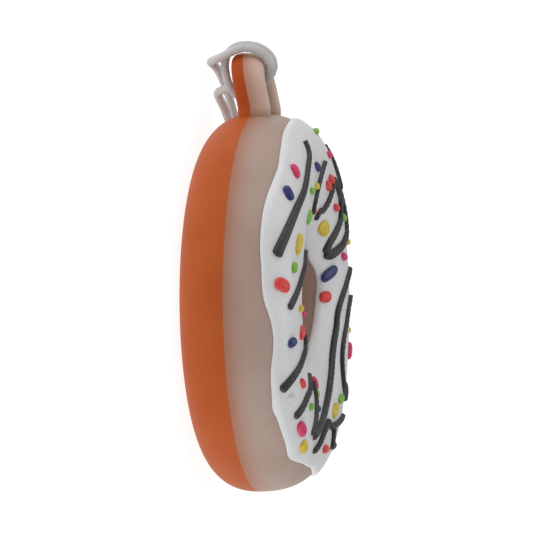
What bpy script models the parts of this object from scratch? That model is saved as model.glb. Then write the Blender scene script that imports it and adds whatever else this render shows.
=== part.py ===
"""A toy doughnut charm in soft plastic: two dough halves, white icing with drizzle and sprinkles,
a loop at its edge, and the thin elastic that goes twice over the loop.

It lies on its back. +Z is the way the icing faces, +Y points to the loop, and +X is the side
where the spare elastic is coiled. Everything is in metres.
"""
import math

import bmesh
import bpy
import numpy as np

MM = 0.001

# The ring, whose front is highest nearer to its outer edge
OUTER_RADIUS = 15.25 * MM
HOLE_RADIUS = 4.4 * MM
BACK_DEPTH = 4.35 * MM
BACK_CROWN = (OUTER_RADIUS + HOLE_RADIUS) / 2
FRONT_DEPTH = 5.0 * MM
FRONT_CROWN = 11.0 * MM
SQUARENESS = 2.35
FLAT_TRIM = 0.07 * MM
SEAM_GAP = 0.3 * MM
RING_STEPS = 72
BACK_STEPS = 14

# The icing, whose edges are given as millimetres over the section from the outer seam, and from
# the seam in the hole
ICING_RECESS = 0.6 * MM
ICING_GAP = 0.3 * MM
ICING_LIFT = 0.35 * MM
RECESS_WALL = 0.12 * MM
LIP = 0.7 * MM
LIP_PLACES = (0.0, 0.04 * MM, 0.25 * MM)
OUTER_EDGE = [
    (0, 2.9), (14, 2.4), (29, 2.95), (44, 2.5), (58, 3.1), (72, 2.55), (86, 2.75), (100, 3.05),
    (112, 3.15), (121, 3.4), (131, 3.6), (138, 3.35), (143, 3.1), (150, 2.85), (158, 2.8),
    (164, 2.85), (168, 3.0), (176, 3.1), (180, 3.3), (185, 3.8), (190, 4.0), (195, 3.95),
    (199, 3.7), (204, 3.5), (211, 3.45), (216, 3.3), (219, 3.6), (225, 3.75), (232, 3.9),
    (240, 3.75), (250, 4.65), (263, 5.0), (274, 4.4), (286, 3.3), (300, 3.15), (316, 2.5),
    (331, 3.0), (346, 2.5),
]
INNER_EDGE = [(5, 3.95), (13, 4.1), (20, 4.1), (27, 3.95), (38, 3.5), (60, 3.3), (90, 3.9),
              (120, 4.2), (165, 3.8), (210, 4.1), (250, 3.7), (290, 3.3), (320, 3.4), (344, 3.7)]

# The drizzle: each strand's widths at its ends in millimetres, then its points as degrees round
# the ring and millimetres over the section
DRIZZLE_HEIGHT = 0.32 * MM
DRIZZLE_STEP = 1.7 * MM
DRIZZLE_PROFILE = [(-0.5, -0.55), (-0.4, 0.65), (0.0, 1.0), (0.4, 0.65), (0.5, -0.55)]
DRIZZLE = [
    (0.35, 0.95, [(109, 4.9), (112, 5.7), (120, 6.2), (133, 6.4), (144, 5.8), (155, 5.0), (165, 4.1)]),
    (0.35, 0.4, [(88, 7.2), (91, 7.5), (99, 8.4), (106.5, 9.2), (113, 10.0), (115, 10.7)]),
    (0.45, 0.55, [(66, 7.7), (69, 9.4), (76, 10.8), (83, 11.2), (85, 11.8)]),
    (0.45, 0.9, [(66.5, 7.6), (57, 7.5), (50.5, 7.5), (46.5, 7.9), (42.5, 8.5), (41.5, 9.8),
                 (41, 11.1), (37.5, 12.0)]),
    (0.9, 0.5, [(37.5, 11.9), (32, 11.2), (30, 10.1), (28.5, 8.2), (29, 7.0), (36, 6.0), (46, 4.9)]),
    (0.25, 0.6, [(150, 10.0), (159, 9.8), (168, 8.3), (177, 6.4), (182, 5.4)]),
    (0.5, 0.9, [(13, 6.4), (9, 8.3), (2, 9.8), (355, 10.5), (343.5, 10.8), (333.5, 11.0), (323, 11.0),
                (312, 10.8), (299.5, 10.6), (285.5, 10.2), (268, 9.3), (255.5, 8.2), (244, 6.7)]),
    (0.3, 0.45, [(266, 12.0), (251.5, 10.7), (246, 9.3), (244.5, 8.1), (241, 6.5)]),
    (0.45, 0.7, [(225, 10.4), (226, 8.9), (222, 7.2), (222, 5.0)]),
    (0.3, 0.5, [(2.5, 6.9), (356.5, 8.0), (350, 8.6), (338.5, 9.3), (330.5, 9.3), (324, 8.8),
                (319.5, 7.9), (318.5, 6.4)]),
    (0.5, 0.5, [(279, 8.8), (263, 7.8), (250, 5.9)]),
    (0.5, 0.5, [(311, 6.3), (298, 7.3), (289, 7.7), (285.5, 7.0), (283, 6.3)]),
    (0.35, 0.8, [(197, 9.8), (203, 9.1), (204, 7.7), (206, 5.7), (209, 4.1)]),
    (0.5, 0.7, [(64, 4.3), (58, 5.4), (47, 6.1)]),
    (0.5, 0.7, [(334, 4.3), (328, 5.4), (322, 6.1)]),
    (0.5, 0.5, [(277.5, 8.8), (283, 8.2), (289, 7.7)]),
]

# The sprinkles: degrees round the ring, millimetres over the section, the angle that each is
# turned from the ring's own direction, length and width in millimetres
SPRINKLE_HEIGHT = 0.34 * MM
SPRINKLE_ROOT = 0.24 * MM
SPRINKLES = [
    (84, 4.7, 12, 1.6, 0.6), (74, 6.2, 12, 1.7, 0.6), (129.5, 5.0, 45, 1.25, 0.8),
    (141, 4.7, 46, 1.3, 0.9), (104, 7.3, 149, 1.7, 0.6), (107.5, 8.7, 157, 1.2, 0.6),
    (120, 8.2, 149, 1.3, 0.6), (71, 8.0, 6, 1.7, 0.7), (76, 8.8, 175, 1.6, 0.7),
    (53, 8.9, 28, 1.4, 0.6), (132, 9.3, 168, 1.9, 0.7), (106, 10.8, 148, 1.2, 0.5),
    (46, 7.1, 32, 1.4, 0.6), (38.5, 7.5, 39, 1.5, 0.6), (58, 11.4, 17, 2.3, 1.2),
    (156.5, 6.8, 164, 2.1, 0.9), (167, 6.1, 163, 0.95, 0.65), (174, 4.7, 74, 1.6, 1.1),
    (24, 6.6, 59, 1.3, 0.55), (22, 8.7, 61, 1.3, 0.65), (19.5, 11.6, 98, 2.2, 1.0),
    (3.5, 12.2, 90, 1.3, 0.95), (182.5, 7.9, 95, 1.0, 0.6), (186, 9.7, 74, 1.1, 0.5),
    (193, 8.1, 123, 1.4, 0.8), (194, 5.7, 95, 1.1, 0.8), (340.5, 6.4, 0, 1.5, 0.7),
    (272, 11.9, 37, 1.7, 0.6), (213, 6.8, 21, 1.1, 0.55), (214, 5.0, 50, 0.9, 0.55),
    (259.5, 10.9, 35, 1.3, 0.5), (311, 8.0, 153, 1.5, 0.7), (232.5, 8.0, 47, 1.2, 0.6),
    (251.5, 9.4, 26, 1.4, 0.55), (297, 8.6, 178, 2.1, 0.9), (230, 5.5, 9, 1.8, 0.95),
    (239, 5.2, 173, 1.4, 0.9), (269.5, 6.7, 2, 1.7, 0.7), (288, 6.3, 170, 1.7, 0.6),
    (6, 4.3, 40, 1.6, 0.7), (52, 3.9, 75, 1.5, 0.7), (350, 4.9, 100, 1.6, 0.7),
    (316, 4.0, 150, 1.5, 0.8), (303, 4.5, 20, 1.4, 0.7), (36, 4.9, 130, 1.6, 0.65),
    (357, 9.9, 65, 0.9, 0.5), (24, 4.4, 60, 1.4, 0.65),
]

# The loop at the ring's edge, with its thickness on each side of the seam
LOOP_TOP = 20.15 * MM
LOOP_WIDTH = 6.0 * MM
LOOP_WALL = 1.6 * MM
LOOP_BACK = 1.15 * MM
LOOP_FRONT = 1.5 * MM
LOOP_ROOT = 14.0 * MM
LOOP_LEAN_FROM = 15.7 * MM
LOOP_LEAN = math.radians(11.5)
LOOP_PROFILE = [(-1.0, 0.0), (-0.96, 0.42), (-0.6, 0.86), (0.0, 1.0), (0.6, 0.86), (0.96, 0.42),
                (1.0, 0.0)]

# The elastic: from the knot over the loop and out to the coil, then back over the loop
ELASTIC_WIDTH = 0.7 * MM
ELASTIC_STEP = 0.9 * MM
COIL_CENTRE = (21.6 * MM, 0.0)
COIL_RADIUS = 4.05 * MM
COIL_BAND = 2.6 * MM
COIL_HEIGHT = 1.46 * MM
COIL_EDGE = 0.28
COIL_STEPS = 36
KNOT_CENTRE = (0.0, 16.2 * MM, 3.6 * MM)
KNOT_RADII = (0.85 * MM, 0.65 * MM, 0.75 * MM)
ROUTE_OUT = [
    (-0.37, 17.47, 2.09), (-0.38, 18.12, 1.86), (-0.33, 18.81, 1.73), (-0.3, 19.51, 1.73),
    (-0.32, 20.15, 1.99), (-0.35, 20.58, 2.51), (-0.35, 20.78, 3.18), (-0.3, 20.76, 3.88),
    (-0.2, 20.57, 4.54), (-0.08, 20.2, 5.12), (0.05, 19.66, 5.52), (0.17, 19.0, 5.61),
    (0.26, 18.4, 5.37), (0.32, 17.97, 4.8), (0.39, 17.74, 4.13), (0.48, 17.61, 3.45),
    (0.6, 17.48, 2.77), (0.8, 17.36, 2.12), (1.14, 17.26, 1.51), (1.62, 17.18, 1.02),
    (2.22, 17.07, 0.67), (2.88, 16.94, 0.48), (4.0, 16.65, 0.36), (5.6, 16.05, 0.36),
    (8.0, 14.85, 0.36), (10.5, 13.0, 0.36), (12.7, 10.6, 0.36), (14.5, 7.9, 0.36),
    (15.7, 5.1, 0.36), (16.35, 2.9, 0.36),
]
ROUTE_BACK = [
    (19.9, 5.95, 0.75), (18.8, 6.9, 0.5), (17.6, 8.1, 0.38), (15.8, 10.2, 0.36),
    (13.6, 12.5, 0.36), (11.2, 14.6, 0.36), (8.8, 16.4, 0.36), (6.2, 17.9, 0.36),
    (3.8, 18.85, 0.36), (1.74, 19.29, 0.36), (1.04, 19.38, 0.38), (0.35, 19.43, 0.44),
    (-0.33, 19.48, 0.6), (-0.93, 19.58, 0.94), (-1.33, 19.75, 1.48), (-1.48, 20.03, 2.1),
    (-1.48, 20.33, 2.73), (-1.44, 20.51, 3.41), (-1.37, 20.47, 4.1), (-1.28, 20.24, 4.75),
    (-1.16, 19.83, 5.29), (-1.01, 19.24, 5.6), (-0.84, 18.6, 5.6), (-0.67, 18.01, 5.31),
    (-0.54, 17.51, 4.82),
]

RING_Y = (OUTER_RADIUS - LOOP_TOP) / 2
SEAM_HEIGHT = BACK_DEPTH - FLAT_TRIM
ORANGE = (0.42, 0.10, 0.035)
TAUPE = (0.33, 0.25, 0.21)
WHITE = (0.60, 0.61, 0.64)


def material(name, colour, roughness):
    """A plain Principled material."""
    made = bpy.data.materials.new(name)
    made.use_nodes = True
    shader = made.node_tree.nodes["Principled BSDF"]
    shader.inputs["Base Color"].default_value = (*colour, 1.0)
    shader.inputs["Roughness"].default_value = roughness
    return made


def place(obj, colour, roughness):
    """Finish a piece made round the ring's centre: its material, shading and place on the Y axis."""
    obj.data.materials.clear()
    obj.data.materials.append(material(obj.name + "_material", colour, roughness))
    obj.data.shade_smooth()
    obj.data.set_sharp_from_angle(angle=math.radians(40))
    obj.location = (0, RING_Y, 0)
    return obj


def solid(name, points, faces):
    """A mesh object from points and faces, with its faces turned outwards."""
    mesh = bpy.data.meshes.new(name)
    mesh.from_pydata([tuple(p) for p in points], [], faces)
    work = bmesh.new()
    work.from_mesh(mesh)
    bmesh.ops.recalc_face_normals(work, faces=work.faces)
    work.to_mesh(mesh)
    work.free()
    obj = bpy.data.objects.new(name, mesh)
    bpy.context.scene.collection.objects.link(obj)
    return obj


def strip_faces(rows, columns, closed_rows=False):
    """Quads between neighbouring rows of points, whose columns close on themselves."""
    faces = []
    for row in range(rows if closed_rows else rows - 1):
        below = (row + 1) % rows
        for column in range(columns):
            after = (column + 1) % columns
            faces.append((row * columns + column, row * columns + after,
                          below * columns + after, below * columns + column))
    return faces


def closed_tube(name, points, columns):
    """A solid from rows of points that go round it, with a flat face at each end."""
    faces = strip_faces(len(points) // columns, columns)
    faces += [tuple(range(columns)), tuple(range(len(points) - columns, len(points)))]
    return solid(name, points, faces)


def half_section(depth, crown):
    """Half of the ring's section, from the outer seam over the crown to the seam in the hole.

    Two quarters of superellipses that meet at the crown: radius = crown + a * cos(t)^(2/p) with
    the cosine's sign kept and a the way from the crown to that side's seam, and height =
    depth * sin(t)^(2/p). It returns evenly spaced lengths along it, and the radius, the height
    and the outward direction's two parts at each.
    """
    turn = np.linspace(0, math.pi, 2001)
    cosine, sine = np.cos(turn), np.abs(np.sin(turn))
    way = np.where(cosine > 0, OUTER_RADIUS - crown, crown - HOLE_RADIUS)
    radius = crown + way * np.sign(cosine) * np.abs(cosine) ** (2 / SQUARENESS)
    height = depth * sine ** (2 / SQUARENESS)
    along = np.concatenate([[0], np.cumsum(np.hypot(np.diff(radius), np.diff(height)))])
    even = np.linspace(0, along[-1], 601)
    radius, height = np.interp(even, along, radius), np.interp(even, along, height)
    step = np.hypot(np.gradient(radius), np.gradient(height))
    return even, radius, height, np.gradient(height) / step, -np.gradient(radius) / step


FRONT = half_section(FRONT_DEPTH, FRONT_CROWN)
BACK = half_section(BACK_DEPTH, BACK_CROWN)
FRONT_LENGTH = FRONT[0][-1]


def on_front(around, over, lift=0.0):
    """Points on the front: radians round the ring, length over the section, height above it."""
    even, radius, height, out_radius, out_height = FRONT
    r = np.interp(over, even, radius) + lift * np.interp(over, even, out_radius)
    z = np.interp(over, even, height) + lift * np.interp(over, even, out_height)
    return np.stack([r * np.cos(around), r * np.sin(around), SEAM_HEIGHT + z], -1)


def round_the_ring(pairs, around):
    """A length that varies round the ring: straight between its named values, then rounded off
    by a running average over eight degrees."""
    degrees, values = np.array(pairs, float).T
    every = np.arange(0, 360, 0.5)
    rough = np.interp(every, degrees, values, period=360)
    spread = np.hanning(17)
    padded = np.concatenate([rough[-8:], rough, rough[:8]])
    rounded = np.convolve(padded, spread / spread.sum(), "valid")
    return np.interp(np.degrees(around), every, rounded, period=360) * MM


def icing_edges(around):
    """Where the icing's place in the dough begins and ends, as lengths over the section."""
    return round_the_ring(OUTER_EDGE, around), FRONT_LENGTH - round_the_ring(INNER_EDGE, around)


def union(base, parts):
    """Join the parts to the base with one Boolean union on their collection, and apply it."""
    group = bpy.data.collections.new(base.name + "_parts")
    bpy.context.scene.collection.children.link(group)
    for part in parts:
        bpy.context.scene.collection.objects.unlink(part)
        group.objects.link(part)
    join = base.modifiers.new("union", "BOOLEAN")
    join.operation = "UNION"
    join.operand_type = "COLLECTION"
    join.collection = group
    join.solver = "EXACT"
    bpy.context.view_layer.update()
    seen = base.evaluated_get(bpy.context.evaluated_depsgraph_get())
    joined = bpy.data.meshes.new_from_object(seen)
    base.modifiers.clear()
    base.data = joined
    for part in parts:
        bpy.data.objects.remove(part)
    bpy.data.collections.remove(group)


def loop_half(name, side, thickness):
    """Half of the loop, split at the seam: a half round profile carried up one leg, round the
    arch and down the other. Above the ring's edge it leans towards the back."""
    reach = (LOOP_WIDTH - LOOP_WALL) / 2
    centre = LOOP_TOP - LOOP_WALL / 2 - reach
    turns = np.linspace(0, math.pi, 13)
    path = [(reach, LOOP_ROOT), (reach, LOOP_LEAN_FROM)]
    path += [(reach * math.cos(t), centre + reach * math.sin(t)) for t in turns]
    path += [(-x, y) for x, y in path[1::-1]]
    outward = [(1, 0)] * 2 + [(math.cos(t), math.sin(t)) for t in turns] + [(-1, 0)] * 2
    points = []
    for (x, y), (out_x, out_y) in zip(path, outward):
        for across, up in LOOP_PROFILE:
            wide = across * LOOP_WALL / 2
            high = SEAM_GAP / 2 + up * (thickness - SEAM_GAP / 2)
            point_y = y + out_y * wide
            drop = math.tan(LOOP_LEAN) * max(0.0, point_y - LOOP_LEAN_FROM)
            points.append((x + out_x * wide, point_y, SEAM_HEIGHT + side * high - drop))
    return closed_tube(name, points, len(LOOP_PROFILE))


def dough_back():
    """The orange half that it lies on: the back half of the section turned round the ring, with
    a flat where it rests."""
    even, radius, height, _, _ = BACK
    overs = np.linspace(0, even[-1], BACK_STEPS)
    r, z = np.interp(overs, even, radius), np.interp(overs, even, height)
    z = np.minimum(z, BACK_DEPTH - FLAT_TRIM)
    around = np.arange(RING_STEPS) * 2 * math.pi / RING_STEPS
    grid = np.stack([np.outer(np.cos(around), r), np.outer(np.sin(around), r),
                     np.broadcast_to(SEAM_HEIGHT - z, (RING_STEPS, len(r)))], -1)
    grid[:, [0, -1], 2] -= SEAM_GAP / 2
    obj = solid("dough_back", grid.reshape(-1, 3), strip_faces(RING_STEPS, len(r), True))
    union(obj, [loop_half("loop_back", -1, LOOP_BACK)])
    return place(obj, ORANGE, 0.45)


def dough_front():
    """The taupe half, turned like the back, with a shallow place for the icing sunk in it."""
    around = np.arange(RING_STEPS) * 2 * math.pi / RING_STEPS
    start, end = icing_edges(around)
    overs = [start * k / 4 for k in range(5)]
    lifts = [0.0] * 5
    for k in range(7):
        overs.append(start + RECESS_WALL + (end - start - 2 * RECESS_WALL) * k / 6)
        lifts.append(-ICING_RECESS)
    overs += [end + (FRONT_LENGTH - end) * k / 2 for k in range(3)]
    lifts += [0.0] * 3
    grid = np.stack([on_front(around, over, lift) for over, lift in zip(overs, lifts)], 1)
    grid[:, [0, -1], 2] += SEAM_GAP / 2
    obj = solid("dough_front", grid.reshape(-1, 3), strip_faces(RING_STEPS, len(overs), True))
    union(obj, [loop_half("loop_front", 1, LOOP_FRONT)])
    return place(obj, TAUPE, 0.5)


def icing_lift(over, start, end):
    """The icing's height above the dough's own form: a rounded lip at each edge, then even."""
    inside = np.clip(np.minimum(over - start, end - over) / LIP, 0, 1)
    return ICING_LIFT * np.sqrt(1 - (1 - inside) ** 2)


def smooth_line(knots, step):
    """Evenly spaced points, about a step apart, on a smooth line through the knots.

    Between two neighbouring knots runs a cubic whose slope at each is the mean slope there.
    """
    gaps = np.concatenate([[0], np.cumsum(np.linalg.norm(np.diff(knots, axis=0), axis=1))])
    slopes = np.gradient(knots, gaps, axis=0)
    where = np.linspace(0, gaps[-1], max(4, int(round(gaps[-1] / step)) + 1))
    k = np.clip(np.searchsorted(gaps, where, "right") - 1, 0, len(gaps) - 2)
    span = (gaps[k + 1] - gaps[k])[:, None]
    t = (where - gaps[k])[:, None] / span
    return ((2 * t**3 - 3 * t**2 + 1) * knots[k] + (t**3 - 2 * t**2 + t) * span * slopes[k]
            + (3 * t**2 - 2 * t**3) * knots[k + 1] + (t**3 - t**2) * span * slopes[k + 1])


def frame_on_icing(around, over):
    """The icing's surface point, its outward direction and the directions round and over it."""
    start, end = icing_edges(around)
    lift = icing_lift(over, start, end)
    point = on_front(around, over, lift)
    out = on_front(around, over, lift + MM) - point
    out /= np.linalg.norm(out, axis=-1, keepdims=True)
    round_way = np.stack([-np.sin(around), np.cos(around), np.zeros_like(around)], -1)
    return point, out, round_way, np.cross(out, round_way)


def drizzle_strand(number, first, last, pairs):
    """A raised strand: a low five-sided profile carried along its line on the icing."""
    degrees, overs = np.array(pairs, float).T
    knots = np.stack([np.unwrap(np.radians(degrees)) * FRONT_CROWN, overs * MM], 1)
    line = smooth_line(knots, DRIZZLE_STEP)
    point, out, _, _ = frame_on_icing(line[:, 0] / FRONT_CROWN, line[:, 1])
    side = np.cross(out, np.gradient(point, axis=0))
    side /= np.linalg.norm(side, axis=1, keepdims=True)
    width = np.linspace(first, last, len(line)) * MM
    rows = [point + side * (width * across)[:, None] + out * DRIZZLE_HEIGHT * up
            for across, up in DRIZZLE_PROFILE]
    points = np.stack(rows, 1).reshape(-1, 3)
    return closed_tube("drizzle_%02d" % number, points, len(DRIZZLE_PROFILE))


def sprinkle(number, degrees, over, turn, length, width):
    """A small six-sided grain with blunt ends, half sunk in the icing."""
    around = np.array([math.radians(degrees)])
    point, out, round_way, over_way = frame_on_icing(around, np.array([over * MM]))
    turn = math.radians(turn)
    along = round_way * math.cos(turn) + over_way * math.sin(turn)
    side = np.cross(out, along)
    middle = point + out * (SPRINKLE_HEIGHT - SPRINKLE_ROOT) / 2
    half_wide, half_high = width * MM / 2, (SPRINKLE_HEIGHT + SPRINKLE_ROOT) / 2 / math.sin(math.pi / 3)
    rings = []
    for reach, size in [(-0.5, 0.5), (0.0, 1.0), (0.5, 0.5)]:
        for k in range(6):
            angle = k * math.pi / 3
            rings.append(middle + along * reach * length * MM
                         + side * math.cos(angle) * size * half_wide
                         + out * math.sin(angle) * size * half_high)
    return closed_tube("sprinkle_%02d" % number, np.concatenate(rings), 6)


def icing():
    """The white icing: a thin shell on the dough, with the drizzle and sprinkles joined to it."""
    around = np.arange(RING_STEPS) * 2 * math.pi / RING_STEPS
    start, end = icing_edges(around)
    start, end = start + ICING_GAP, end - ICING_GAP
    under = ICING_GAP - ICING_RECESS
    overs = [start + inset for inset in LIP_PLACES]
    overs += [start + LIP + (end - start - 2 * LIP) * k / 8 for k in range(9)]
    overs += [end - inset for inset in LIP_PLACES[::-1]]
    lifts = [icing_lift(over, start, end) for over in overs]
    lifts[0] = lifts[-1] = np.full(RING_STEPS, under)
    for k in range(6, 0, -1):
        overs.append(start + (end - start) * k / 7)
        lifts.append(np.full(RING_STEPS, under))
    grid = np.stack([on_front(around, over, lift) for over, lift in zip(overs, lifts)], 1)
    obj = solid("icing", grid.reshape(-1, 3), strip_faces(RING_STEPS, len(overs), True))
    toppings = [drizzle_strand(k, *strand) for k, strand in enumerate(DRIZZLE)]
    toppings += [sprinkle(k, *grain) for k, grain in enumerate(SPRINKLES)]
    union(obj, toppings)
    return place(obj, WHITE, 0.35)


def elastic_tube(name, route):
    """A stretch of the elastic: a round curve with closed ends."""
    curve = bpy.data.curves.new(name, "CURVE")
    curve.dimensions = "3D"
    curve.bevel_depth = ELASTIC_WIDTH / 2
    curve.bevel_resolution = 2
    curve.use_fill_caps = True
    line = smooth_line(np.array(route) * MM, ELASTIC_STEP)
    spline = curve.splines.new("POLY")
    spline.points.add(len(line) - 1)
    for point, place_at in zip(spline.points, line):
        point.co = (*place_at, 1.0)
    obj = bpy.data.objects.new(name, curve)
    obj.location = (0, RING_Y, 0)
    curve.materials.append(material(name + "_material", WHITE, 0.6))
    bpy.context.scene.collection.objects.link(obj)
    return obj


def elastic_coil():
    """The spare elastic's outer shape: a turned ring with rounded edges."""
    side, top = 0.5 - COIL_EDGE / 2, 1 - COIL_EDGE
    profile = [(-0.5, COIL_EDGE), (-side, 0.0), (side, 0.0), (0.5, COIL_EDGE),
               (0.5, top), (side, 1.0), (-side, 1.0), (-0.5, top)]
    points = []
    for k in range(COIL_STEPS):
        angle = k * 2 * math.pi / COIL_STEPS
        for across, up in profile:
            radius = COIL_RADIUS + across * COIL_BAND
            points.append((COIL_CENTRE[0] + radius * math.cos(angle),
                           COIL_CENTRE[1] + radius * math.sin(angle), up * COIL_HEIGHT))
    obj = solid("elastic_coil", points, strip_faces(COIL_STEPS, len(profile), True))
    return place(obj, WHITE, 0.6)


def elastic_knot():
    """The small knot that closes the elastic, a rounded lump in the loop's hole."""
    work = bmesh.new()
    bmesh.ops.create_icosphere(work, subdivisions=2, radius=1.0)
    for point in work.verts:
        point.co = [c + r * v for c, r, v in zip(KNOT_CENTRE, KNOT_RADII, point.co)]
    mesh = bpy.data.meshes.new("elastic_knot")
    work.to_mesh(mesh)
    work.free()
    obj = bpy.data.objects.new("elastic_knot", mesh)
    bpy.context.scene.collection.objects.link(obj)
    return place(obj, WHITE, 0.6)


for old in list(bpy.data.objects):
    bpy.data.objects.remove(old, do_unlink=True)
dough_back()
dough_front()
icing()
elastic_tube("elastic", ROUTE_OUT)
elastic_tube("elastic_return", ROUTE_BACK)
elastic_coil()
elastic_knot()
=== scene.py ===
import math

import bpy
import numpy as np
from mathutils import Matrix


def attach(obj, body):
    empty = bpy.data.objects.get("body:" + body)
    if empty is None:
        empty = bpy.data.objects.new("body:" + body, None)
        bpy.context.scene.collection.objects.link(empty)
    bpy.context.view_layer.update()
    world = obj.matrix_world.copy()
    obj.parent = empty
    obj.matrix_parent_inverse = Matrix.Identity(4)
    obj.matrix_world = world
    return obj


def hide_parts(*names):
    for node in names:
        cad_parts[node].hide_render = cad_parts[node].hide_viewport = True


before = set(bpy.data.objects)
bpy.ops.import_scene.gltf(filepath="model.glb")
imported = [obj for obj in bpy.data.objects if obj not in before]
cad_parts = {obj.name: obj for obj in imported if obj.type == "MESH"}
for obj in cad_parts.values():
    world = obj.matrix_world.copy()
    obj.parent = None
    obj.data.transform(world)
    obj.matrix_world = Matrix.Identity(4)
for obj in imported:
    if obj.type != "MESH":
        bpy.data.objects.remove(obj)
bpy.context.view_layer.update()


# The ring's back half: the orange half of the toy, one moulding of soft plastic with half of the
# hanging loop. The two halves are glued where they meet, and this one has the flat it lies on.
MM = 0.001
OUTER_RADIUS = 15.25 * MM
HOLE_RADIUS = 4.4 * MM
BACK_DEPTH = 4.35 * MM
BACK_CROWN = (OUTER_RADIUS + HOLE_RADIUS) / 2
SQUARENESS = 2.35
FLAT_TRIM = 0.07 * MM
SEAM_HEIGHT = BACK_DEPTH - FLAT_TRIM
LOOP_TOP = 20.15 * MM
LOOP_ROOT = 14.0 * MM
LOOP_WIDTH = 6.0 * MM
LOOP_WALL = 1.6 * MM
LOOP_BACK = 1.15 * MM
LOOP_FRONT = 1.5 * MM
LOOP_SQUARENESS = 2.5
LEG_ROWS = 23
LOOP_LEAN_FROM = 15.7 * MM
LOOP_LEAN = math.radians(11.5)
RING_Y = (OUTER_RADIUS - LOOP_TOP) / 2
HALVES_APART = 0.003 * MM
SEAM_EDGE = 0.005 * MM


def half_section(depth, crown):
    """Half of the ring's section: two superellipse quarters, from the outer seam over the crown.

    Radius is the crown's plus a times the signed cosine to the power 2/p, where a is the way to
    that side's seam, and height is the depth times the sine to the same power. It returns
    lengths along the section, and the radius, height and outward direction at each.
    """
    turn = np.linspace(0, math.pi, 4001)
    cosine, sine = np.cos(turn), np.abs(np.sin(turn))
    way = np.where(cosine > 0, OUTER_RADIUS - crown, crown - HOLE_RADIUS)
    radius = crown + way * np.sign(cosine) * np.abs(cosine) ** (2 / SQUARENESS)
    height = depth * sine ** (2 / SQUARENESS)
    along = np.concatenate([[0], np.cumsum(np.hypot(np.diff(radius), np.diff(height)))])
    even = np.linspace(0, along[-1], 1501)
    radius, height = np.interp(even, along, radius), np.interp(even, along, height)
    step = np.hypot(np.gradient(radius), np.gradient(height))
    return even, radius, height, np.gradient(height) / step, -np.gradient(radius) / step


def add_mesh(name, points, quads, triangles=()):
    """A smooth mesh object from arrays of points and faces, turned so that its volume is positive."""
    quads = np.asarray(quads, np.int32).reshape(-1, 4)
    triangles = np.asarray(triangles, np.int32).reshape(-1, 3)
    first, second, third = (points[quads[:, k]] for k in (0, 1, 2))
    fourth = points[quads[:, 3]]
    volume = np.einsum("ij,ij->", first, np.cross(second, third) + np.cross(third, fourth))
    if len(triangles):
        volume += np.einsum("ij,ij->", points[triangles[:, 0]],
                            np.cross(points[triangles[:, 1]], points[triangles[:, 2]]))
    if volume < 0:
        quads, triangles = quads[:, ::-1], triangles[:, ::-1]
    mesh = bpy.data.meshes.new(name)
    mesh.vertices.add(len(points))
    mesh.vertices.foreach_set("co", np.asarray(points, np.float32).ravel())
    corners = np.concatenate([quads.ravel(), triangles.ravel()])
    starts = np.concatenate([np.arange(len(quads)) * 4, quads.size + np.arange(len(triangles)) * 3])
    mesh.loops.add(len(corners))
    mesh.loops.foreach_set("vertex_index", corners.astype(np.int32))
    mesh.polygons.add(len(starts))
    mesh.polygons.foreach_set("loop_start", starts.astype(np.int32))
    mesh.update(calc_edges=True)
    mesh.validate()
    mesh.shade_smooth()
    obj = bpy.data.objects.new(name, mesh)
    bpy.context.scene.collection.objects.link(obj)
    return obj


def grid_quads(rows, columns, close_rows=True, close_columns=True, first=0):
    """The faces of a grid of points: each joins a point, the next in its row and the two after."""
    index = first + np.arange(rows * columns).reshape(rows, columns)
    below = np.roll(index, -1, 0)
    faces = np.stack([index, np.roll(index, -1, 1), np.roll(below, -1, 1), below], -1)
    if not close_rows:
        faces = faces[:-1]
    if not close_columns:
        faces = faces[:, :-1]
    return faces.reshape(-1, 4)


def tube_faces(rows, columns, first=0):
    """The faces of a closed tube whose rows go round it, with a point after them at each end."""
    quads = grid_quads(rows, columns, False, True, first)
    ring, after = np.arange(columns), np.roll(np.arange(columns), -1)
    start, end = first + rows * columns, first + rows * columns + 1
    last = first + (rows - 1) * columns
    caps = [np.stack([first + after, first + ring, np.full(columns, start)], 1),
            np.stack([last + ring, last + after, np.full(columns, end)], 1)]
    return quads, np.concatenate(caps)


def loop_half(front):
    """Half of the hanging loop: half a superellipse carried up a leg, round the arch and down.

    Above the ring's edge every point drops by its distance from the edge times the lean's
    tangent, so the loop leans to the back. The front is a little thicker than the back.
    """
    thickness = LOOP_FRONT if front else LOOP_BACK
    reach = (LOOP_WIDTH - LOOP_WALL) / 2
    centre = LOOP_TOP - LOOP_WALL / 2 - reach
    rise = np.linspace(LOOP_ROOT, centre, LEG_ROWS + 1)[:-1]
    turns = np.linspace(0, math.pi, 61)
    leg = np.ones(LEG_ROWS)
    x = np.concatenate([leg * reach, reach * np.cos(turns), -leg * reach])
    y = np.concatenate([rise, centre + reach * np.sin(turns), rise[::-1]])
    out_x = np.concatenate([leg, np.cos(turns), -leg])[:, None]
    out_y = np.concatenate([0 * leg, np.sin(turns), 0 * leg])[:, None]
    t = np.linspace(0, math.pi, 25)
    across = np.sign(np.cos(t)) * np.abs(np.cos(t)) ** (2 / LOOP_SQUARENESS) * LOOP_WALL / 2
    up = np.abs(np.sin(t)) ** (2 / LOOP_SQUARENESS) * thickness
    edge = np.array([across[-1] + SEAM_EDGE, across[0] - SEAM_EDGE])
    across = np.concatenate([across, edge])
    up = np.maximum(np.concatenate([up, [0, 0]]), 0) + HALVES_APART
    up[[0, -3]] += SEAM_EDGE
    side = 1 if front else -1
    point_y = y[:, None] + out_y * across
    drop = math.tan(LOOP_LEAN) * np.maximum(0, point_y - LOOP_LEAN_FROM)
    height = np.broadcast_to(SEAM_HEIGHT + side * up, drop.shape) - drop
    return np.stack([x[:, None] + out_x * across, point_y + RING_Y, height], -1)


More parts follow.
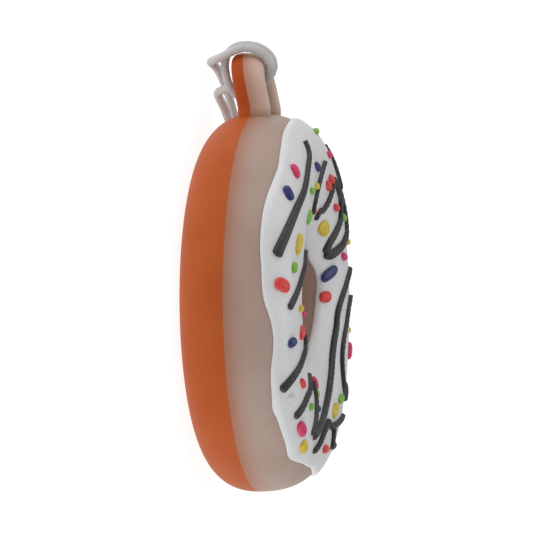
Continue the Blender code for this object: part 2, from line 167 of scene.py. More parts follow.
def with_loop(name, grid, front):
    """A ring half and its half of the loop as one closed surface, joined where they cross."""
    rows, columns = grid.shape[:2]
    ring = add_mesh(name, grid.reshape(-1, 3), grid_quads(rows, columns))
    loop = loop_half(front)
    ends = np.stack([loop[0].mean(0), loop[-1].mean(0)])
    points = np.concatenate([loop.reshape(-1, 3), ends])
    half = add_mesh(name + "_loop", points, *tube_faces(*loop.shape[:2]))
    join = ring.modifiers.new("join", "BOOLEAN")
    join.operation, join.object, join.solver = "UNION", half, "EXACT"
    bpy.context.view_layer.update()
    joined = ring.evaluated_get(bpy.context.evaluated_depsgraph_get())
    mesh = bpy.data.meshes.new_from_object(joined)
    ring.modifiers.clear()
    ring.data = mesh
    bpy.data.objects.remove(half)
    mesh.shade_smooth()
    mesh.set_sharp_from_angle(angle=math.radians(35))
    return ring


def seen(red, green, blue):
    """A colour as it looks on a screen, 0 to 255, turned into linear light."""
    value = np.array([red, green, blue]) / 255
    return (*np.where(value <= 0.04045, value / 12.92, ((value + 0.055) / 1.055) ** 2.4), 1.0)


def moulded(name, colours, patch, roughness, bumps, blends_and_painted_light=(), shine=0.5):
    """Soft moulded plastic: cloudy noise mixes the colours, and finer noise roughens the skin.

    bumps are pairs of a noise scale and a depth in metres. Each tint is a colour blended in,
    what it goes by, two lengths in millimetres and its strengths there: "level" is the height
    over the line where the halves meet, "radius" the distance from the ring's axis, and "loop"
    the distance from that axis towards the loop. Most of the tints given below are painted
    shade and painted light. shine is the strength of the plastic's mirror light.
    """
    made = bpy.data.materials.new(name)
    made.use_nodes = True
    nodes, link = made.node_tree.nodes, made.node_tree.links.new
    shader = nodes["Principled BSDF"]
    shader.inputs["Specular IOR Level"].default_value = shine
    place = nodes.new("ShaderNodeTexCoord")

    def noise(scale, detail):
        cloud = nodes.new("ShaderNodeTexNoise")
        cloud.inputs["Scale"].default_value = scale
        cloud.inputs["Detail"].default_value = detail
        link(place.outputs["Object"], cloud.inputs["Vector"])
        return cloud.outputs["Fac"]

    ramp = nodes.new("ShaderNodeValToRGB")
    ramp.color_ramp.elements[0].position, ramp.color_ramp.elements[1].position = 0.3, 0.7
    ramp.color_ramp.elements[0].color, ramp.color_ramp.elements[1].color = colours
    link(noise(patch, 3), ramp.inputs["Fac"])
    colour = ramp.outputs["Color"]
    # Blend each tint in over its mask; most tints are painted shade and painted light.
    for tint, measure, lengths, strengths in blends_and_painted_light:
        if measure == "level":
            split = nodes.new("ShaderNodeSeparateXYZ")
            link(place.outputs["Object"], split.inputs["Vector"])
            lean = nodes.new("ShaderNodeMapRange")
            run = 10 * MM
            lean.inputs["From Min"].default_value = LOOP_LEAN_FROM + RING_Y
            lean.inputs["From Max"].default_value = LOOP_LEAN_FROM + run + RING_Y
            lean.inputs["To Max"].default_value = run * math.tan(LOOP_LEAN)
            link(split.outputs["Y"], lean.inputs["Value"])
            level = nodes.new("ShaderNodeMath")
            link(split.outputs["Z"], level.inputs[0])
            link(lean.outputs["Result"], level.inputs[1])
            measured, nought = level.outputs["Value"], SEAM_HEIGHT
        elif measure == "loop":
            split = nodes.new("ShaderNodeSeparateXYZ")
            link(place.outputs["Object"], split.inputs["Vector"])
            measured, nought = split.outputs["Y"], RING_Y
        else:
            flat = nodes.new("ShaderNodeVectorMath")
            flat.operation = "MULTIPLY_ADD"
            flat.inputs[1].default_value = (1, 1, 0)
            flat.inputs[2].default_value = (0, -RING_Y, 0)
            link(place.outputs["Object"], flat.inputs[0])
            reach = nodes.new("ShaderNodeVectorMath")
            reach.operation = "LENGTH"
            link(flat.outputs["Vector"], reach.inputs[0])
            measured, nought = reach.outputs["Value"], 0
        near = nodes.new("ShaderNodeMapRange")
        near.interpolation_type = "SMOOTHSTEP"
        near.inputs["From Min"].default_value = nought + lengths[0] * MM
        near.inputs["From Max"].default_value = nought + lengths[1] * MM
        near.inputs["To Min"].default_value, near.inputs["To Max"].default_value = strengths
        link(measured, near.inputs["Value"])
        blend = nodes.new("ShaderNodeMix")
        blend.data_type = "RGBA"
        link(near.outputs["Result"], blend.inputs["Factor"])
        link(colour, blend.inputs["A"])
        blend.inputs["B"].default_value = tint
        colour = blend.outputs["Result"]
    link(colour, shader.inputs["Base Color"])
    rough = nodes.new("ShaderNodeMapRange")
    rough.inputs["To Min"].default_value, rough.inputs["To Max"].default_value = roughness
    link(noise(patch * 3, 2), rough.inputs["Value"])
    link(rough.outputs["Result"], shader.inputs["Roughness"])
    last = None
    for scale, depth in bumps:
        bump = nodes.new("ShaderNodeBump")
        bump.inputs["Distance"].default_value = depth
        link(noise(scale, 2), bump.inputs["Height"])
        if last:
            link(last, bump.inputs["Normal"])
        last = bump.outputs["Normal"]
    link(last, shader.inputs["Normal"])
    return made


RING_STEPS = 360
around = np.arange(RING_STEPS) * 2 * math.pi / RING_STEPS
back_along, back_radius, back_height = half_section(BACK_DEPTH, BACK_CROWN)[:3]
back_over = np.linspace(0, back_along[-1], 81)
section_r = np.interp(back_over, back_along, back_radius)
section_z = np.minimum(np.interp(back_over, back_along, back_height), BACK_DEPTH - FLAT_TRIM)
section_r = np.concatenate([section_r, [section_r[-1] + SEAM_EDGE, section_r[0] - SEAM_EDGE]])
section_z = np.concatenate([section_z, [0, 0]]) + HALVES_APART
section_z[[0, -3]] += SEAM_EDGE
back_grid = np.stack([np.outer(np.cos(around), section_r),
                      np.outer(np.sin(around), section_r) + RING_Y,
                      np.broadcast_to(SEAM_HEIGHT - np.minimum(section_z, SEAM_HEIGHT),
                                      (RING_STEPS, len(section_r)))], -1)
back = with_loop("orange_dough", back_grid, False)
back.data.materials.clear()
back.data.materials.append(moulded(
    "orange_plastic", (seen(176, 79, 24), seen(183, 86, 30)), 260, (0.5, 0.62),
    [(900, 0.00002), (5200, 0.000008)],
    # The first tint darkens the loop's orange to a deeper red-orange: painted shade.
    [(seen(170, 66, 8), "loop", (15.0, 16.2), (0.0, 1.0)),
     (seen(166, 104, 72), "level", (-0.25, 0.1), (0.0, 0.4))], shine=0.2))
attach(back, "root")
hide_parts("dough_back")


# The ring's front half: the taupe half of the toy, in the same soft plastic, with the other half
# of the loop. The icing lies in a shallow place sunk in it, which follows the icing's wavy edge.
FRONT_DEPTH = 5.0 * MM
FRONT_CROWN = 11.0 * MM
ICING_RECESS = 0.6 * MM
OUTER_EDGE = [
    (0, 2.9), (14, 2.4), (29, 2.95), (44, 2.5), (58, 3.1), (72, 2.55), (86, 2.75), (100, 3.05),
    (112, 3.15), (121, 3.4), (131, 3.6), (138, 3.35), (143, 3.1), (150, 2.85), (158, 2.8),
    (164, 2.85), (168, 3.0), (176, 3.1), (180, 3.3), (185, 3.8), (190, 4.0), (195, 3.95),
    (199, 3.7), (204, 3.5), (211, 3.45), (216, 3.3), (219, 3.6), (225, 3.75), (232, 3.9),
    (240, 3.75), (250, 4.65), (263, 5.0), (274, 4.4), (286, 3.3), (300, 3.15), (316, 2.5),
    (331, 3.0), (346, 2.5),
]
INNER_EDGE = [(5, 3.95), (13, 4.1), (20, 4.1), (27, 3.95), (38, 3.5), (60, 3.3), (90, 3.9),
              (120, 4.2), (165, 3.8), (210, 4.1), (250, 3.7), (290, 3.3), (320, 3.4), (344, 3.7)]
STEEP_EDGE = 0.06 * MM
FRONT = half_section(FRONT_DEPTH, FRONT_CROWN)
FRONT_LENGTH = FRONT[0][-1]


def on_front(around, over, lift=0.0):
    """Points on the front half: angle round the ring, length over the section, height above it."""
    even, radius, height, out_radius, out_height = FRONT
    r = np.interp(over, even, radius) + lift * np.interp(over, even, out_radius)
    z = np.interp(over, even, height) + lift * np.interp(over, even, out_height)
    return np.stack([r * np.cos(around), r * np.sin(around) + RING_Y, SEAM_HEIGHT + z], -1)


def round_the_ring(pairs, around):
    """A length that varies round the ring, from pairs of an angle and a length in millimetres.

    It goes straight between them, rounded off by a running average over eight degrees.
    """
    degrees, values = np.array(pairs, float).T
    every = np.arange(0, 360, 0.5)
    rough = np.interp(every, degrees, values, period=360)
    spread = np.hanning(17)
    padded = np.concatenate([rough[-8:], rough, rough[:8]])
    rounded = np.convolve(padded, spread / spread.sum(), "valid")
    return np.interp(np.degrees(around), every, rounded, period=360) * MM


def icing_edges(around):
    """Where the icing's place in the dough begins and ends, as lengths over the section."""
    return round_the_ring(OUTER_EDGE, around), FRONT_LENGTH - round_the_ring(INNER_EDGE, around)


BAND_ROWS = 31
start, end = icing_edges(around)
share = np.linspace(0, 1, BAND_ROWS)[:, None]
overs = np.concatenate([
    share * start,
    (start + STEEP_EDGE) + share * (end - start - 2 * STEEP_EDGE),
    end + share * (FRONT_LENGTH - end)])
lifts = np.repeat([0, -ICING_RECESS, 0], BAND_ROWS)[:, None]
front_grid = on_front(around, overs, lifts).transpose(1, 0, 2)
rim = front_grid[:, [-1, 0]].copy()
rim[..., 2] += HALVES_APART
inward = np.stack([np.cos(around), np.sin(around)], -1) * SEAM_EDGE
rim[:, 0, :2] += inward
rim[:, 1, :2] -= inward
front_grid[:, [0, -1], 2] += SEAM_EDGE + HALVES_APART
front_grid = np.concatenate([front_grid, rim], 1)
front = with_loop("taupe_dough", front_grid, True)
front.data.materials.clear()
front.data.materials.append(moulded(
    "taupe_plastic", (seen(170, 146, 134), seen(177, 154, 142)), 240, (0.45, 0.6),
    [(800, 0.00002), (5200, 0.000008)],
    # The first tint lightens the loop's taupe: painted light.
    [(seen(206, 182, 168), "loop", (15.0, 15.8), (0.0, 1.0)),
     # The next two blend an orange-brown into the taupe up to 2.1 mm above the seam, made darker as
     # painted shade.
     (seen(160, 84, 42), "level", (0.0, 0.9), (0.35, 0.0)),
     (seen(160, 84, 42), "level", (0.0, 2.1), (0.45, 0.0)),
     # The last darkens the taupe to a warm brown towards the hole: painted shade, with painted orange
     # bounce light, on the hole's wall.
     (seen(124, 84, 68), "radius", (5.6, 7.2), (0.6, 0.0))], shine=0.3))
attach(front, "root")
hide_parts("dough_front")


# The icing: a white layer about a millimetre thick, poured into its place in the dough, with a
# rounded lip that stands a third of a millimetre proud all along its wavy edges.
ICING_LIFT = 0.35 * MM
LIP = 0.7 * MM
HOLLOW_DEPTH = 0.05 * MM
HOLLOW_RADIAN = 1.1 * MM


def icing_lift(around, over, start, end):
    """The icing's height above the dough: a quarter ellipse at each edge, less slow hollows.

    The hollows are the product of a sine with five waves round the ring and a sine over the
    section, which turns a radian in every 1.1 mm. They are at most a twentieth of a millimetre
    deep, and they die out at the lips.
    """
    inside = np.clip(np.minimum(over - start, end - over) / LIP, 0, 1)
    wave = np.sin(5 * around) * np.sin(over / HOLLOW_RADIAN + 2 * np.sin(3 * around))
    hollow = HOLLOW_DEPTH * inside**2 * (1 + wave) / 2
    return ICING_LIFT * np.sqrt(1 - (1 - inside) ** 2) - hollow


def icing_top(around, over):
    """Points on the icing's top, and the outward direction of the dough under each."""
    start, end = icing_edges(around)
    lift = icing_lift(around, over, start, end)
    point = on_front(around, over, lift)
    out = on_front(around, over, lift + MM) - point
    return point, out / np.linalg.norm(out, axis=-1, keepdims=True)


ICING_STEPS = 720
LIP_ROWS = 13
TOP_ROWS = 49
EDGE_GAP = 0.03 * MM
UNDER_GAP = 0.01 * MM
around = np.arange(ICING_STEPS) * 2 * math.pi / ICING_STEPS
start, end = icing_edges(around)
start, end = start + EDGE_GAP, end - EDGE_GAP
lip = LIP * (1 - np.cos(np.linspace(0, math.pi / 2, LIP_ROWS)))[:, None]
way = np.linspace(0, 1, TOP_ROWS + 2)[1:-1, None]
overs = np.concatenate([start + lip, start + LIP + (end - start - 2 * LIP) * way, end - lip[::-1]])
top = on_front(around, overs, icing_lift(around, overs, start, end))
share = np.linspace(1, 0, BAND_ROWS)[:, None]
under = on_front(around, start + STEEP_EDGE + (end - start - 2 * STEEP_EDGE) * share,
                 -ICING_RECESS + UNDER_GAP)
icing_grid = np.concatenate([top, under]).transpose(1, 0, 2)
rows, columns = icing_grid.shape[:2]
icing = add_mesh("white_icing", icing_grid.reshape(-1, 3), grid_quads(rows, columns))
icing.data.set_sharp_from_angle(angle=math.radians(50))
icing.data.materials.append(moulded(
    "icing_plastic", (seen(214, 214, 216), seen(221, 221, 222)), 210, (0.34, 0.46),
    [(420, 0.00005), (2600, 0.000012)]))
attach(icing, "root")
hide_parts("icing")


# The drizzle: thin strands of black icing trailed across the white to and fro, each a low ridge
# with blunt ends that widens where the trail slowed. They stick to the white layer's top.
DRIZZLE_HEIGHT = 0.32 * MM
DRIZZLE_ROOT = 0.12 * MM
DRIZZLE_SQUARENESS = 2.6
RIB_RADIAN = 0.085 * MM
SLANT_RADIAN = 0.1 * MM
RIB_HEIGHT = 0.05
DRIZZLE = [
    (0.35, 0.95, [(109, 4.9), (112, 5.7), (120, 6.2), (133, 6.4), (144, 5.8), (155, 5.0), (165, 4.1)]),
    (0.35, 0.4, [(88, 7.2), (91, 7.5), (99, 8.4), (106.5, 9.2), (113, 10.0), (115, 10.7)]),
    (0.45, 0.55, [(66, 7.7), (69, 9.4), (76, 10.8), (83, 11.2), (85, 11.8)]),
    (0.45, 0.9, [(66.5, 7.6), (57, 7.5), (50.5, 7.5), (46.5, 7.9), (42.5, 8.5), (41.5, 9.8),
                 (41, 11.1), (37.5, 12.0)]),
    (0.9, 0.5, [(37.5, 11.9), (32, 11.2), (30, 10.1), (28.5, 8.2), (29, 7.0), (36, 6.0), (46, 4.9)]),
    (0.25, 0.6, [(150, 10.0), (159, 9.8), (168, 8.3), (177, 6.4), (182, 5.4)]),
    (0.5, 0.9, [(13, 6.4), (9, 8.3), (2, 9.8), (355, 10.5), (343.5, 10.8), (333.5, 11.0), (323, 11.0),
                (312, 10.8), (299.5, 10.6), (285.5, 10.2), (268, 9.3), (255.5, 8.2), (244, 6.7)]),
    (0.3, 0.45, [(266, 12.0), (251.5, 10.7), (246, 9.3), (244.5, 8.1), (241, 6.5)]),
    (0.45, 0.7, [(225, 10.4), (226, 8.9), (222, 7.2), (222, 5.0)]),
    (0.3, 0.5, [(2.5, 6.9), (356.5, 8.0), (350, 8.6), (338.5, 9.3), (330.5, 9.3), (324, 8.8),
                (319.5, 7.9), (318.5, 6.4)]),
    (0.5, 0.5, [(279, 8.8), (263, 7.8), (250, 5.9)]),
    (0.5, 0.5, [(311, 6.3), (298, 7.3), (289, 7.7), (285.5, 7.0), (283, 6.3)]),
    (0.35, 0.8, [(197, 9.8), (203, 9.1), (204, 7.7), (206, 5.7), (209, 4.1)]),
    (0.5, 0.7, [(64, 4.3), (58, 5.4), (47, 6.1)]),
    (0.5, 0.7, [(334, 4.3), (328, 5.4), (322, 6.1)]),
    (0.5, 0.5, [(277.5, 8.8), (283, 8.2), (289, 7.7)]),
]


def smooth_line(knots, step):
    """Even steps along a line through the knots: cubics whose slope at a knot is the mean there."""
    gaps = np.concatenate([[0], np.cumsum(np.linalg.norm(np.diff(knots, axis=0), axis=1))])
    slopes = np.gradient(knots, gaps, axis=0)
    where = np.linspace(0, gaps[-1], int(round(gaps[-1] / step)) + 1)
    k = np.clip(np.searchsorted(gaps, where, "right") - 1, 0, len(gaps) - 2)
    span = (gaps[k + 1] - gaps[k])[:, None]
    t = (where - gaps[k])[:, None] / span
    return ((2 * t**3 - 3 * t**2 + 1) * knots[k] + (t**3 - 2 * t**2 + t) * span * slopes[k]
            + (3 * t**2 - 2 * t**3) * knots[k + 1] + (t**3 - t**2) * span * slopes[k + 1])


def strand(first, last, pairs):
    """A strand's rows of points: half a superellipse over a flat base, carried along its line.

    The width goes evenly from first to last, and both ends close in a quarter ellipse. Fine
    slanting ribs run over its top: a sine that turns a radian in every 0.085 mm of length and
    in every 0.1 mm across. Its base is sunk in the white layer.
    """
    degrees, overs = np.array(pairs, float).T
    knots = np.stack([np.unwrap(np.radians(degrees)) * FRONT_CROWN, overs * MM], 1)
    line = smooth_line(knots, 0.09 * MM)
    point, out = icing_top(line[:, 0] / FRONT_CROWN, line[:, 1])
    run = np.gradient(point, axis=0)
    length = np.concatenate([[0], np.cumsum(np.linalg.norm(np.diff(point, axis=0), axis=1))])
    side = np.cross(out, run)
    side /= np.linalg.norm(side, axis=1, keepdims=True)
    width = (first + (last - first) * length / length[-1]) * MM
    to_end = np.minimum(length / (0.35 * width), (length[-1] - length) / (0.3 * width))
    close = np.sqrt(1 - (1 - np.clip(to_end, 0, 1)) ** 2)
    t = np.linspace(0, math.pi, 17)
    across = np.sign(np.cos(t)) * np.abs(np.cos(t)) ** (2 / DRIZZLE_SQUARENESS) / 2
    up = np.abs(np.sin(t)) ** (2 / DRIZZLE_SQUARENESS)
    rib = np.sin(length[:, None] / RIB_RADIAN + across * width[:, None] / SLANT_RADIAN)
    wide = (width * np.maximum(close, 0.02))[:, None] * across
    high = DRIZZLE_HEIGHT * close[:, None] * up * (1 + RIB_HEIGHT * rib * up)
    base = np.stack([wide[:, -1], wide[:, 0]], 1)
    wide = np.concatenate([wide, base], 1)
    high = np.concatenate([high, np.full_like(base, -DRIZZLE_ROOT)], 1)
    return point[:, None] + side[:, None] * wide[..., None] + out[:, None] * high[..., None]


def joined_tubes(name, tubes):
    """One mesh from many closed tubes, each a grid of rows that go round it."""
    points, quads, caps, first = [], [], [], 0
    for rows in tubes:
        ends = np.stack([rows[0].mean(0), rows[-1].mean(0)])
        points.append(np.concatenate([rows.reshape(-1, 3), ends]))
        more, tips = tube_faces(*rows.shape[:2], first)
        quads.append(more)
        caps.append(tips)
        first += len(points[-1])
    return add_mesh(name, np.concatenate(points), np.concatenate(quads), np.concatenate(caps))


drizzle = joined_tubes("black_drizzle", [strand(*one) for one in DRIZZLE])
drizzle.data.set_sharp_from_angle(angle=math.radians(60))
drizzle.data.materials.append(moulded(
    "drizzle_plastic", (seen(31, 29, 32), seen(43, 41, 43)), 1500, (0.38, 0.52),
    [(3000, 0.000015)]))
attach(drizzle, "root")
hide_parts("icing")


# The sprinkles: small grains of coloured plastic like sugar strands, pressed into the icing at
# all angles and left standing a third of a millimetre out of it. One piece holds each colour.
SPRINKLE_HEIGHT = 0.34 * MM
SPRINKLE_ROOT = 0.24 * MM
SPRINKLE_BEND = 0.06
SPRINKLES = {
    "red": ((206, 48, 48), [
        (71, 8.0, 6, 1.7, 0.7), (76, 8.8, 175, 1.6, 0.7), (53, 8.9, 28, 1.4, 0.6),
        (174, 4.7, 74, 1.6, 1.1), (3.5, 12.2, 90, 1.3, 0.95), (193, 8.1, 123, 1.4, 0.8),
        (213, 6.8, 21, 1.1, 0.55), (269.5, 6.7, 2, 1.7, 0.7), (52, 3.9, 75, 1.5, 0.7)]),
    "magenta": ((200, 36, 88), [
        (74, 6.2, 12, 1.7, 0.6), (129.5, 5.0, 45, 1.25, 0.8), (106, 10.8, 148, 1.2, 0.5),
        (22, 8.7, 61, 1.3, 0.65), (186, 9.7, 74, 1.1, 0.5), (340.5, 6.4, 0, 1.5, 0.7),
        (272, 11.9, 37, 1.7, 0.6), (230, 5.5, 9, 1.8, 0.95), (24, 4.4, 60, 1.4, 0.65)]),
    "yellow": ((200, 174, 44), [
        (107.5, 8.7, 157, 1.2, 0.6), (58, 11.4, 17, 2.3, 1.2), (156.5, 6.8, 164, 2.1, 0.9),
        (24, 6.6, 59, 1.3, 0.55), (182.5, 7.9, 95, 1.0, 0.6), (297, 8.6, 178, 2.1, 0.9),
        (239, 5.2, 173, 1.4, 0.9), (350, 4.9, 100, 1.6, 0.7)]),
    "green": ((112, 168, 54), [
        (84, 4.7, 12, 1.6, 0.6), (120, 8.2, 149, 1.3, 0.6), (132, 9.3, 168, 1.9, 0.7),
        (38.5, 7.5, 39, 1.5, 0.6), (167, 6.1, 163, 0.95, 0.65), (259.5, 10.9, 35, 1.3, 0.5),
        (311, 8.0, 153, 1.5, 0.7), (232.5, 8.0, 47, 1.2, 0.6), (6, 4.3, 40, 1.6, 0.7)]),
    "navy": ((24, 36, 94), [
        (141, 4.7, 46, 1.3, 0.9), (104, 7.3, 149, 1.7, 0.6), (46, 7.1, 32, 1.4, 0.6),
        (19.5, 11.6, 98, 2.2, 1.0), (194, 5.7, 95, 1.1, 0.8), (251.5, 9.4, 26, 1.4, 0.55),
        (288, 6.3, 170, 1.7, 0.6), (316, 4.0, 150, 1.5, 0.8), (36, 4.9, 130, 1.6, 0.65)]),
    "pale": ((205, 205, 212), [
        (214, 5.0, 50, 0.9, 0.55), (303, 4.5, 20, 1.4, 0.7), (357, 9.9, 65, 0.9, 0.5)]),
}


def grain(degrees, over, turn, length, width):
    """A grain's rows of points: ellipses carried along its length, with full rounded ends.

    Its size at a share s of the half length is one minus s to the power 2.8, all to the power
    1 / 2.2, and the grain bends a little sideways as a parabola.
    """
    around, over = np.array([math.radians(degrees)]), np.array([over * MM])
    point, out = icing_top(around, over)
    round_way = np.stack([-np.sin(around), np.cos(around), 0 * around], -1)
    over_way = np.cross(out, round_way)
    turn = math.radians(turn)
    along = round_way * math.cos(turn) + over_way * math.sin(turn)
    side = np.cross(out, along)
    share = np.sin(np.linspace(-math.pi / 2, math.pi / 2, 19)[1:-1])[:, None]
    size = (1 - np.abs(share) ** 2.8) ** (1 / 2.2)
    t = np.arange(20) * math.pi / 10
    low, high = -SPRINKLE_ROOT, SPRINKLE_HEIGHT
    bend = SPRINKLE_BEND * width * MM * math.sin(degrees)
    across = size * width * MM / 2 * np.cos(t) + bend * share**2
    up = (low + high) / 2 + size * (high - low) / 2 * np.sin(t)
    flat = np.broadcast_to(share * length * MM / 2, across.shape)
    return (point[0] + along[0] * flat[..., None] + side[0] * across[..., None]
            + out[0] * up[..., None])


for colour, (tone, grains) in SPRINKLES.items():
    sprinkles = joined_tubes(f"{colour}_sprinkles", [grain(*one) for one in grains])
    lighter = seen(*(min(255, value + 14) for value in tone))
    sprinkles.data.materials.append(moulded(
        f"{colour}_sprinkle_plastic", (seen(*tone), lighter), 1800, (0.32, 0.5),
        [(2600, 0.00002)]))
    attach(sprinkles, "root")
    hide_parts("icing")


# The elastic: a thin round white cord, woven over a rubber core. It goes twice over the loop
# and through it, its spare turns lie in a small coil, and a knot in the loop's hole closes it.
ELASTIC_WIDTH = 0.7 * MM
THREADS_EACH_WAY = 4
THREAD_TURN = 2.2 * MM
THREAD_SINK = 1 / 12
COIL_CENTRE = np.array([21.6, 0.0]) * MM
COIL_OUTSIDE = 4.9 * MM
COIL_SPACING = 0.75 * MM
COIL_TURNS = 4.708
INWARD_TURNS = 2.25
OUTWARD_FROM = 2.4
CLIMB_TURNS = 0.2
LYING_HEIGHT = 0.36 * MM
LAYER_RISE = 0.73 * MM
KNOT_CENTRE = np.array([0.0, 16.2, 3.6]) * MM
KNOT_REACH = np.array([0.24, 0.17, -0.34]) * MM
KNOT_WIDTH = 0.56 * MM
ROUTE_OUT = [
    (-0.37, 17.47, 2.09), (-0.38, 18.12, 1.86), (-0.33, 18.81, 1.73), (-0.3, 19.51, 1.73),
    (-0.32, 20.15, 1.99), (-0.35, 20.58, 2.51), (-0.35, 20.78, 3.18), (-0.3, 20.76, 3.88),
    (-0.2, 20.57, 4.54), (-0.08, 20.2, 5.12), (0.05, 19.66, 5.52), (0.17, 19.0, 5.61),
    (0.26, 18.4, 5.37), (0.32, 17.97, 4.8), (0.39, 17.74, 4.13), (0.48, 17.61, 3.45),
    (0.6, 17.48, 2.77), (0.8, 17.36, 2.12), (1.14, 17.26, 1.51), (1.62, 17.18, 1.02),
    (2.22, 17.07, 0.67), (2.88, 16.94, 0.48), (4.0, 16.65, 0.36), (5.6, 16.05, 0.36),
    (8.0, 14.85, 0.36), (10.5, 13.0, 0.36), (12.7, 10.6, 0.36), (14.5, 7.9, 0.36),
    (15.7, 5.1, 0.36), (16.35, 2.9, 0.36),
]
ROUTE_BACK = [
    (19.9, 5.95, 0.75), (18.8, 6.9, 0.5), (17.6, 8.1, 0.38), (15.8, 10.2, 0.36),
    (13.6, 12.5, 0.36), (11.2, 14.6, 0.36), (8.8, 16.4, 0.36), (6.2, 17.9, 0.36),
    (3.8, 18.85, 0.36), (1.74, 19.29, 0.36), (1.04, 19.38, 0.38), (0.35, 19.43, 0.44),
    (-0.33, 19.48, 0.6), (-0.93, 19.58, 0.94), (-1.33, 19.75, 1.48), (-1.48, 20.03, 2.1),
    (-1.48, 20.33, 2.73), (-1.44, 20.51, 3.41), (-1.37, 20.47, 4.1), (-1.28, 20.24, 4.75),
    (-1.16, 19.83, 5.29), (-1.01, 19.24, 5.6), (-0.84, 18.6, 5.6), (-0.67, 18.01, 5.31),
    (-0.54, 17.51, 4.82),
]


def coil_turns():
    """The coil's points: two and a quarter turns that wind inwards on the floor, then about as
    many that wind outwards on top of them.

    The radius changes by 0.75 mm a turn, and the height by one step that eases in and out.
    """
    degrees = np.arange(180, 180 + COIL_TURNS * 360, 15.0)
    turned = (degrees - 180) / 360
    inward, outward = np.minimum(turned, INWARD_TURNS), np.maximum(turned - OUTWARD_FROM, 0)
    radius = COIL_OUTSIDE + COIL_SPACING * (outward - inward)
    climb = np.clip((turned - INWARD_TURNS) / CLIMB_TURNS, 0, 1)
    height = LYING_HEIGHT + LAYER_RISE * climb**2 * (3 - 2 * climb)
    angle = np.radians(degrees)
    return np.stack([COIL_CENTRE[0] + radius * np.cos(angle),
                     COIL_CENTRE[1] + radius * np.sin(angle), height], 1)


def round_cord(name, line, width, sides, across, ends=True):
    """A braided cord along a line: circles set square to it, with one side of each turned to
    the direction across, which the line never runs along.

    Its threads cross in a lattice: four wind round it one way and four the other, a turn in
    every 2.2 mm, and it sinks by up to a twelfth of its radius between them.
    """
    run = np.gradient(line, axis=0)
    run /= np.linalg.norm(run, axis=1, keepdims=True)
    side = np.cross(run, across)
    side /= np.linalg.norm(side, axis=1, keepdims=True)
    over = np.cross(run, side)
    length = np.concatenate([[0], np.cumsum(np.linalg.norm(np.diff(line, axis=0), axis=1))])
    t = np.arange(sides) * 2 * math.pi / sides
    wind = length[:, None] * 2 * math.pi / THREAD_TURN
    threads = np.maximum(np.cos(THREADS_EACH_WAY * (t + wind)), np.cos(THREADS_EACH_WAY * (t - wind)))
    radius = (width / 2 * (1 - THREAD_SINK * (1 - threads) / 2))[..., None]
    rows = line[:, None] + radius * (side[:, None] * np.cos(t)[:, None]
                                     + over[:, None] * np.sin(t)[:, None])
    if ends:
        return joined_tubes(name, [rows])
    return add_mesh(name, rows.reshape(-1, 3), grid_quads(*rows.shape[:2]))


out_line = np.array([(-0.12, 16.5, 3.05), (-0.28, 16.92, 2.51)] + ROUTE_OUT) * MM
back_line = [(21.0, 5.4, 0.95)] + ROUTE_BACK + [(-0.4, 17.04, 4.33), (-0.25, 16.7, 4.0)]
cord_knots = np.concatenate([out_line, coil_turns(), np.array(back_line) * MM])
cord_knots[:, 1] += RING_Y
cord_line = smooth_line(cord_knots, 0.1 * MM)
elastic = round_cord("white_elastic", cord_line, ELASTIC_WIDTH, 32, (0.707, 0, 0.707))
elastic.data.materials.append(moulded(
    "elastic_weave", (seen(186, 184, 183), seen(200, 198, 197)), 900, (0.55, 0.75),
    [(6000, 0.00001)]))

# The knot's line is a trefoil: the sine of its turn plus twice that of the double turn, the
# cosine less twice that of the double turn, and in height the sine of three times the turn.
turn = np.linspace(0, 2 * math.pi, 121)[:-1]
trefoil = np.stack([np.sin(turn) + 2 * np.sin(2 * turn), np.cos(turn) - 2 * np.cos(2 * turn),
                    np.sin(3 * turn)], 1)
knot_line = KNOT_CENTRE + KNOT_REACH * trefoil
knot_line[:, 1] += RING_Y
knot = round_cord("elastic_knot_tied", knot_line, KNOT_WIDTH, 32, (0, 0, 1), ends=False)
knot.data.materials.append(elastic.data.materials[0])
for piece, nodes in ((elastic, ("elastic", "elastic_coil", "elastic_return")),
                     (knot, ("elastic_knot",))):
    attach(piece, "root")
    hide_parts(*nodes)


# The stage: a pale floor that glows a little, a soft white sky and three soft lights. The
# camera looks across the ring from 10.8 degrees, rolled so that the loop is up.
floor_mesh = bpy.data.meshes.new("floor")
floor_mesh.from_pydata([(-3, -3, 0), (3, -3, 0), (3, 3, 0), (-3, 3, 0)], [], [(0, 1, 2, 3)])
floor = bpy.data.objects.new("floor", floor_mesh)
bpy.context.scene.collection.objects.link(floor)
pale = bpy.data.materials.new("pale_floor")
pale.use_nodes = True
floor_look = pale.node_tree.nodes["Principled BSDF"].inputs
floor_look["Base Color"].default_value = (0.3, 0.3, 0.3, 1)
floor_look["Roughness"].default_value = 0.9
floor_look["Emission Color"].default_value = (1, 1, 1, 1)
floor_look["Emission Strength"].default_value = 0.88
floor_mesh.materials.append(pale)

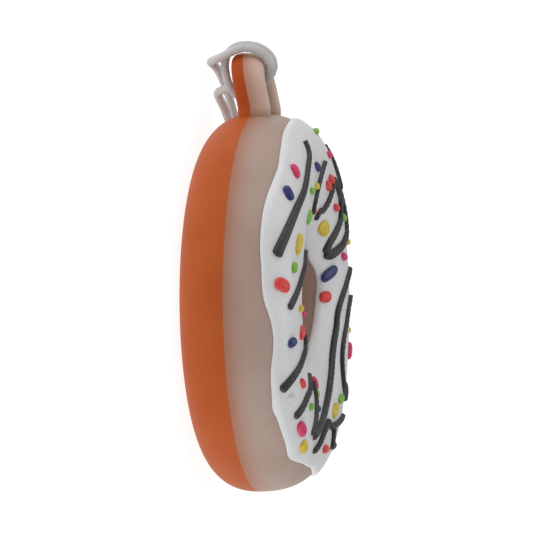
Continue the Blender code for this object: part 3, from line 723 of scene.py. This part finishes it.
world = bpy.data.worlds.new("soft_sky")
bpy.context.scene.world = world
world.use_nodes = True
sky = world.node_tree.nodes["Background"]
sky.inputs["Color"].default_value = (1.0, 1.0, 1.0, 1.0)
sky.inputs["Strength"].default_value = 0.39

ring_centre = np.array([0, RING_Y, SEAM_HEIGHT])


def soft_light(name, place, size, power):
    """A square area light at a place in millimetres from the ring, facing the ring."""
    data = bpy.data.lights.new(name, "AREA")
    data.size, data.energy = size * MM, power
    light = bpy.data.objects.new(name, data)
    light.location = ring_centre + np.array(place) * MM
    away = light.location - type(light.location)(ring_centre)
    light.rotation_euler = away.to_track_quat("Z", "Y").to_euler()
    bpy.context.scene.collection.objects.link(light)


soft_light("over_light", (60, 40, 330), 260, 0.27)
soft_light("top_light", (-40, 300, 120), 220, 0.30)
soft_light("bottom_light", (-60, -300, 120), 220, 0.29)

HEIGHT_ANGLE, ROLL = math.radians(10.8), math.radians(0.51)
CAMERA_DISTANCE, VIEW_WIDTH = 700 * MM, 43.0 * MM
AIM_RIGHT, AIM_UP = 0.604 * MM, 2.91 * MM
across = np.array([math.sin(HEIGHT_ANGLE), 0, math.cos(HEIGHT_ANGLE)])
upward = np.array([0.0, 1.0, 0.0])
back_way = np.array([-math.cos(HEIGHT_ANGLE), 0, math.sin(HEIGHT_ANGLE)])
right_way = across * math.cos(ROLL) - upward * math.sin(ROLL)
up_way = upward * math.cos(ROLL) + across * math.sin(ROLL)
target = ring_centre + right_way * AIM_RIGHT + up_way * AIM_UP
lens = bpy.data.cameras.new("camera")
lens.sensor_width = 36
lens.lens = 36 * CAMERA_DISTANCE / VIEW_WIDTH
lens.clip_start, lens.clip_end = 0.01, 20
camera = bpy.data.objects.new("camera", lens)
bpy.context.scene.collection.objects.link(camera)
turned = np.eye(4)
turned[:3, 0], turned[:3, 1], turned[:3, 2] = right_way, up_way, back_way
turned[:3, 3] = target + back_way * CAMERA_DISTANCE
camera.matrix_world = type(camera.matrix_world)(turned.tolist())
bpy.context.scene.camera = camera
bpy.context.scene.view_settings.view_transform = "Standard"
